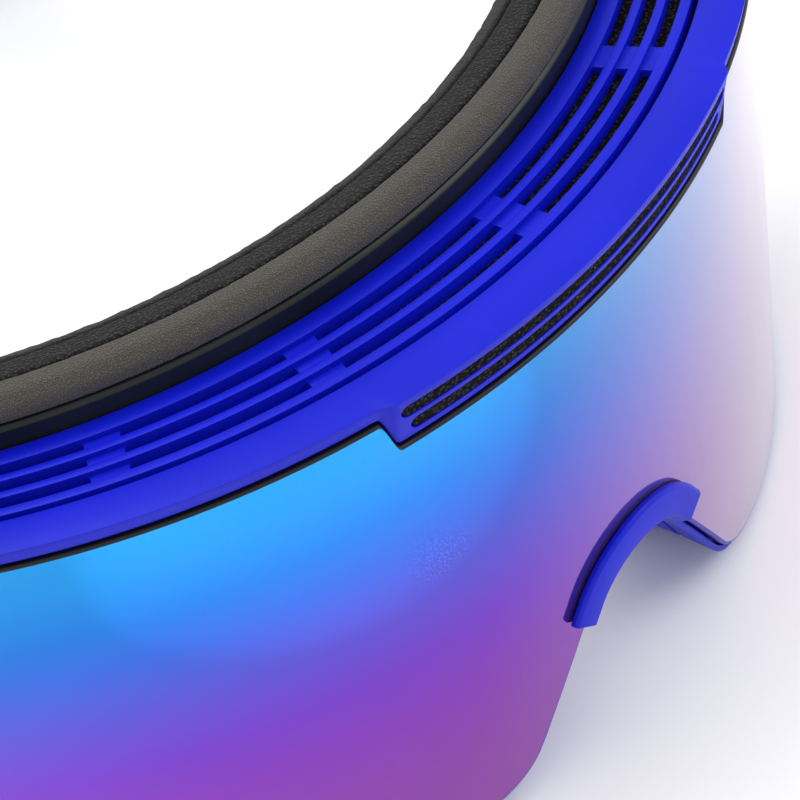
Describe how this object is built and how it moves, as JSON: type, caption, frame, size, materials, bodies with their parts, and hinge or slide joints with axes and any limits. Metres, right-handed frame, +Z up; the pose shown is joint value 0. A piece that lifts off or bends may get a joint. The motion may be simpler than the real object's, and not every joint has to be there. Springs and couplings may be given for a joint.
{
  "type": "ski goggles",
  "caption": "Ski goggles: cylindrical mirrored lens in a vented two-part frame with a nose bridge, layered face foam, hinged outriggers and an elastic strap with sliders.",
  "frame": {"origin": "middle of the goggles and their strap loop, on the floor that they stand on", "axes": "+Z up, the lens faces -Y, +X across the face towards the wearer's left"},
  "size_m": [0.1912, 0.2509, 0.0868],
  "materials": {
    "frame_blue": "satin moulded, deep blue",
    "black_plastic": "satin moulded, black",
    "mirror_lens": "polished, cyan to violet mirror coating",
    "clear_lens": "polished, anti-fog coated",
    "black_rubber": "smooth flexible black",
    "base_foam": "open-cell foam, grey-brown",
    "dark_foam": "open-cell foam, charcoal",
    "face_fleece": "brushed fleece, charcoal",
    "filter_foam": "coarse open-cell filter foam, black",
    "strap_webbing": "woven elastic, navy",
    "silicone": "matte silicone print",
    "steel": "plain bright steel"
  },
  "bodies": {
    "frame": {"rear_frame": "frame_blue", "foam_carrier": "black_rubber", "foam_base": "base_foam", "foam_middle": "dark_foam", "face_fleece": "face_fleece", "top_vent_filter": "filter_foam", "frame_magnet_upper_right": "steel", "frame_magnet_lower_right": "steel", "frame_magnet_upper_left": "steel", "frame_magnet_lower_left": "steel", "hinge_pin_right": "steel", "hinge_pin_left": "steel", "strap_band": "strap_webbing", "strap_grip_upper": "silicone", "strap_grip_lower": "silicone"},
    "lens_cassette": {"front_frame": "frame_blue", "outer_lens": "mirror_lens", "inner_lens": "clear_lens", "lens_seal": "black_rubber", "lens_spacer": "filter_foam", "nose_bridge": "frame_blue", "front_vent_filter": "filter_foam", "cassette_magnet_upper_right": "steel", "cassette_magnet_lower_right": "steel", "cassette_magnet_upper_left": "steel", "cassette_magnet_lower_left": "steel"},
    "right_outrigger": {"outrigger_right": "frame_blue", "outrigger_cover_right": "black_plastic", "strap_end_right": "strap_webbing"},
    "left_outrigger": {"outrigger_left": "frame_blue", "outrigger_cover_left": "black_plastic", "strap_end_left": "strap_webbing"},
    "right_adjuster": {"adjuster_right": "black_plastic"},
    "left_adjuster": {"adjuster_left": "black_plastic"}
  },
  "joints": [
    {"name": "lens_release", "type": "slide", "parent": "frame", "child": "lens_cassette", "axis": [0, -1, 0], "range_m": [0, 0.025]},
    {"name": "right_outrigger_swing", "type": "hinge", "parent": "frame", "child": "right_outrigger", "pos_m": [0.0895, -0.0494, 0.045], "axis": [0, 0, 1], "range_deg": [-20, 12], "deforming": ["strap_end_right"]},
    {"name": "left_outrigger_swing", "type": "hinge", "parent": "frame", "child": "left_outrigger", "pos_m": [-0.0895, -0.0494, 0.045], "axis": [0, 0, -1], "range_deg": [-20, 12], "deforming": ["strap_end_left"]},
    {"name": "right_adjuster_slide", "type": "slide", "parent": "frame", "child": "right_adjuster", "axis": [0, 0.9808, -0.1951], "range_m": [-0.008, 0.014]},
    {"name": "left_adjuster_slide", "type": "slide", "parent": "frame", "child": "left_adjuster", "axis": [0, 0.9808, -0.1951], "range_m": [-0.008, 0.014]}
  ]
}
